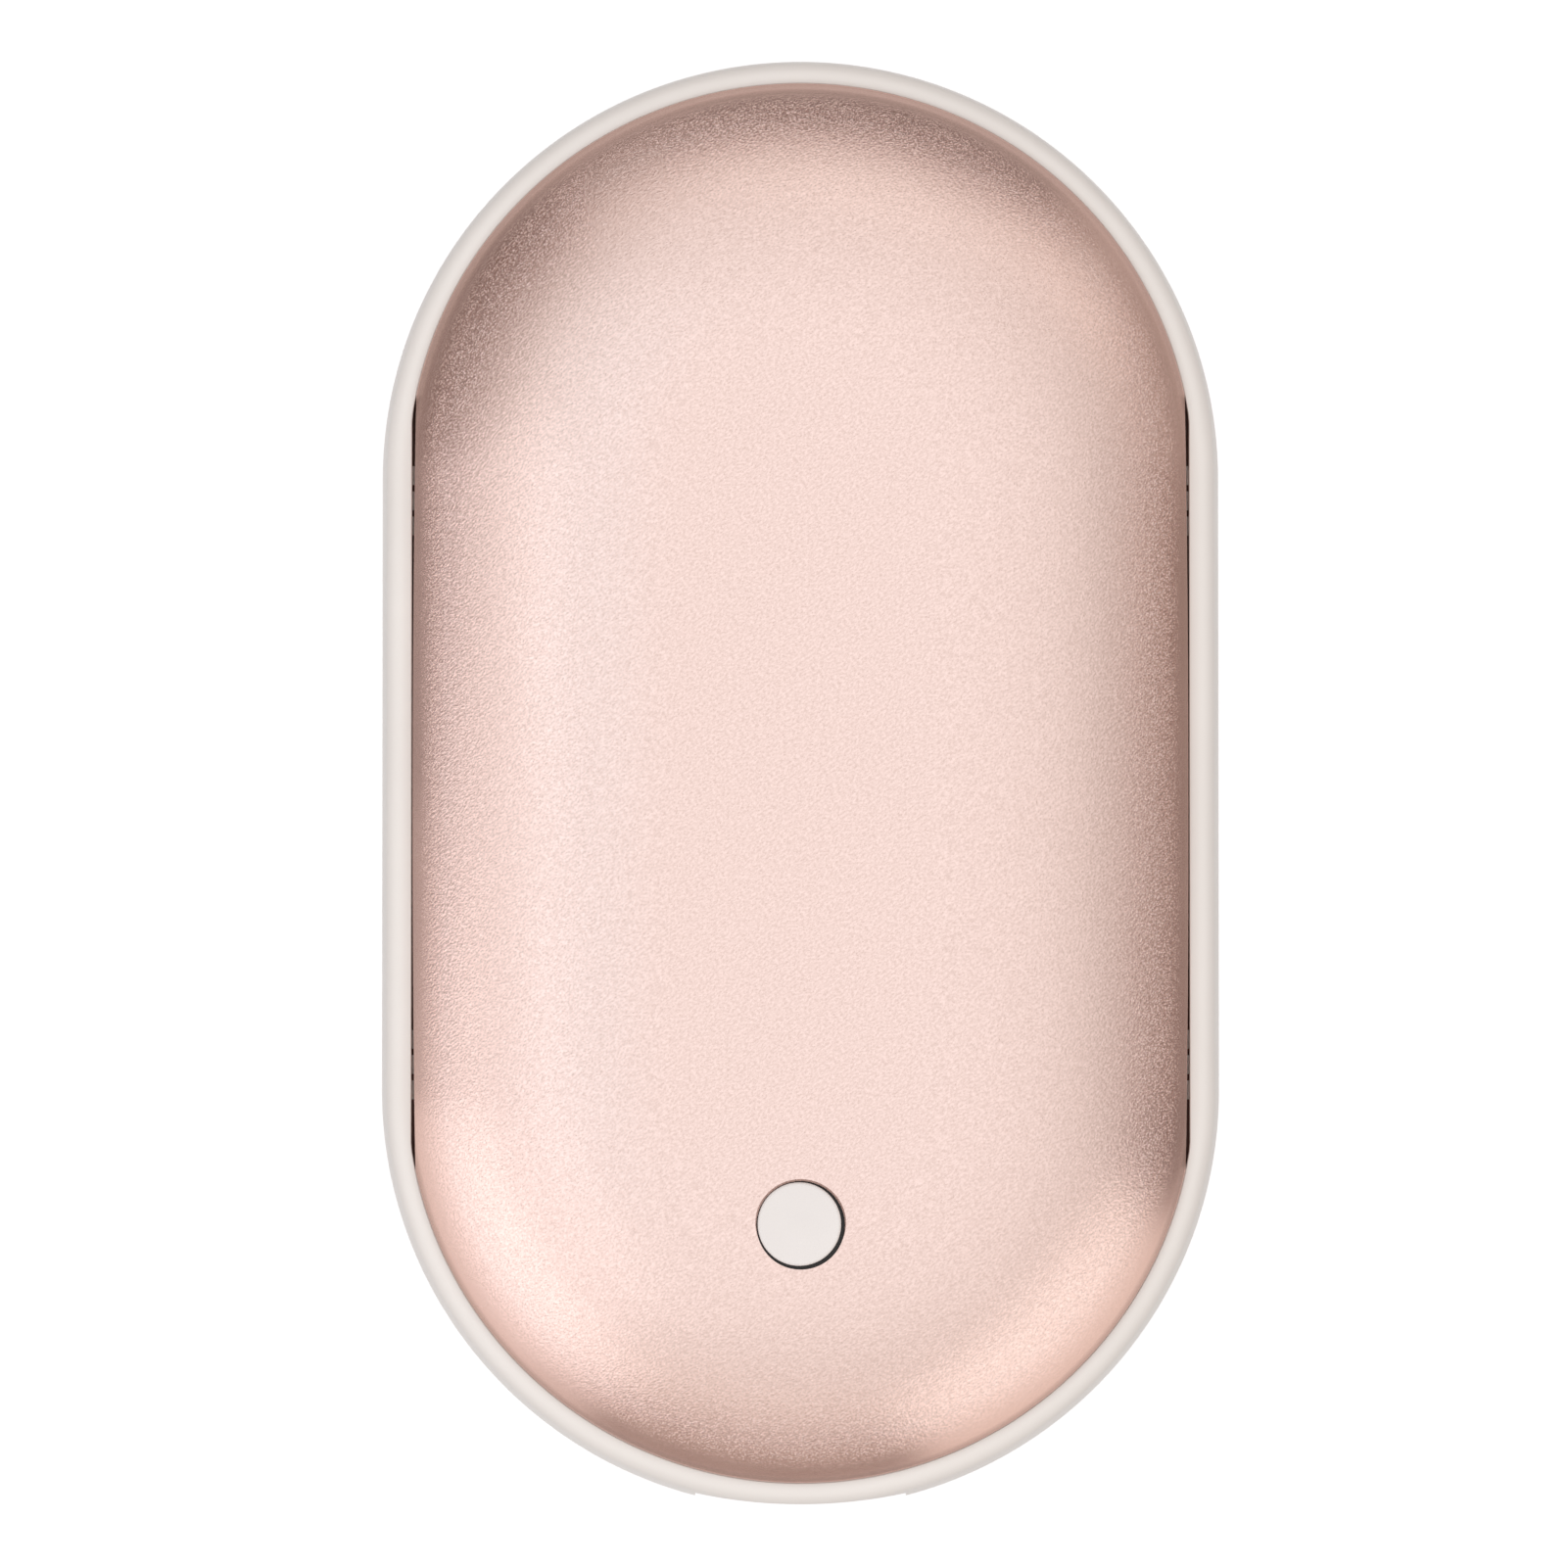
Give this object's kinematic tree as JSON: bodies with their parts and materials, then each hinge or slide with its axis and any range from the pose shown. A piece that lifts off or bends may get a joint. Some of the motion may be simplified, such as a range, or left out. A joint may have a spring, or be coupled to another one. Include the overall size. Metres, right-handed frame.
{
  "type": "hand warmer",
  "caption": "Pebble-shaped pocket hand warmer: domed rose-gold metal shells set in a white waist band, with a round push button and a charging inlet at one end.",
  "frame": {"origin": "middle of the box's underside, on the flat of the back shell", "axes": "+Z out through the front shell, +Y away from the charging inlet, +X to the right seen from the front"},
  "size_m": [0.058, 0.1, 0.0253],
  "materials": {
    "shell_metal": "sand-blasted, rose-gold anodised",
    "ring_plastic": "satin white",
    "button_plastic": "satin white",
    "bond": "cured adhesive",
    "inner_plastic": "fine spark texture",
    "cell_pouch": "laminate foil",
    "board_laminate": "solder mask",
    "black_moulding": "moulded",
    "switch_button_moulding": "moulded",
    "tan_ceramic": "fired",
    "ferrite": "pressed",
    "plated_steel": "nickel plated",
    "screw_steel": "zinc plated",
    "gold_plate": "gold plated",
    "frosted_clear": "frosted",
    "led_resin": "resin",
    "amber_film": "polyimide film",
    "foam": "closed cell",
    "red_insulation": "wire insulation",
    "black_insulation": "wire insulation",
    "white_insulation": "wire insulation",
    "epoxy_bead": "epoxy"
  },
  "bodies": {
    "housing": {"front_shell": "shell_metal", "back_shell": "shell_metal", "mid_ring": "ring_plastic", "front_adhesive": "bond", "back_adhesive": "bond", "button_guide": "inner_plastic", "switch_base": "black_moulding", "switch_cover": "plated_steel", "switch_dome": "plated_steel", "main_board": "board_laminate", "board_screws": "screw_steel", "socket_shell": "plated_steel", "socket_tongue": "black_moulding", "socket_contacts": "gold_plate", "light_pipes": "frosted_clear", "status_leds": "led_resin", "controller_chip": "black_moulding", "charger_chip": "black_moulding", "heater_transistors": "black_moulding", "power_inductor": "ferrite", "chip_capacitors": "tan_ceramic", "chip_resistors": "black_moulding", "pouch_cell": "cell_pouch", "protection_board": "board_laminate", "red_lead": "red_insulation", "black_lead": "black_insulation", "battery_tray": "inner_plastic", "battery_lid": "inner_plastic", "pack_screws": "screw_steel", "front_heater_film": "amber_film", "back_heater_film": "amber_film", "front_heater_leads": "white_insulation", "back_heater_leads": "white_insulation", "front_foam_pad": "foam", "back_foam_pad": "foam", "thermistor": "epoxy_bead"},
    "button": {"button_cap": "button_plastic"},
    "plunger": {"switch_plunger": "switch_button_moulding"}
  },
  "joints": [
    {"name": "button_press", "type": "slide", "parent": "housing", "child": "button", "axis": [0, 0, -1], "range_m": [0, 0.0003], "stiffness_N_per_m": 500, "springref_m": -0.0005},
    {"name": "switch_press", "type": "slide", "parent": "housing", "child": "plunger", "axis": [0, 0, -1], "range_m": [0, 0.0003], "deforming": ["switch_dome"]}
  ],
  "couplings": [
    {"joint": "switch_press", "follows": "button_press", "ratio": 1}
  ]
}
